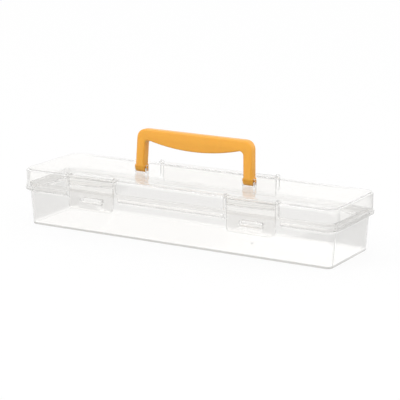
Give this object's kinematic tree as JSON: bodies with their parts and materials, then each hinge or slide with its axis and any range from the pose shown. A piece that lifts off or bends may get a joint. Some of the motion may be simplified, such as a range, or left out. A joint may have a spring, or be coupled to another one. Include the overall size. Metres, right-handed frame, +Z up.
{
  "type": "art supply box",
  "caption": "Long clear plastic box with a hinged lid, snap latches on the front and a folding orange handle on top, for brushes and art supplies.",
  "frame": {"origin": "centre of the flat base, on the surface the box stands on", "axes": "+X along the box's length, +Y from the latch side to the hinge side, +Z up through the lid"},
  "size_m": [0.344, 0.1009, 0.1005],
  "materials": {
    "clear_plastic": "clear moulded polypropylene, smooth, very slightly milky",
    "handle_plastic": "moulded orange plastic, satin"
  },
  "bodies": {
    "tray": {"tray": "clear_plastic"},
    "lid": {"lid": "clear_plastic"},
    "left_latch": {"left_latch": "clear_plastic"},
    "right_latch": {"right_latch": "clear_plastic"},
    "handle": {"handle": "handle_plastic"}
  },
  "joints": [
    {"name": "lid_hinge", "type": "hinge", "parent": "tray", "child": "lid", "pos_m": [0, 0.0474, 0.0562], "axis": [-1, 0, 0], "range_deg": [0, 180]},
    {"name": "left_latch_hinge", "type": "hinge", "parent": "lid", "child": "left_latch", "pos_m": [-0.0875, -0.0474, 0.0562], "axis": [-1, 0, 0], "range_deg": [0, 120]},
    {"name": "right_latch_hinge", "type": "hinge", "parent": "lid", "child": "right_latch", "pos_m": [0.0875, -0.0474, 0.0562], "axis": [-1, 0, 0], "range_deg": [0, 120]},
    {"name": "handle_fold", "type": "hinge", "parent": "lid", "child": "handle", "pos_m": [0, 0, 0.062], "axis": [1, 0, 0], "range_deg": [-72, 78]}
  ]
}
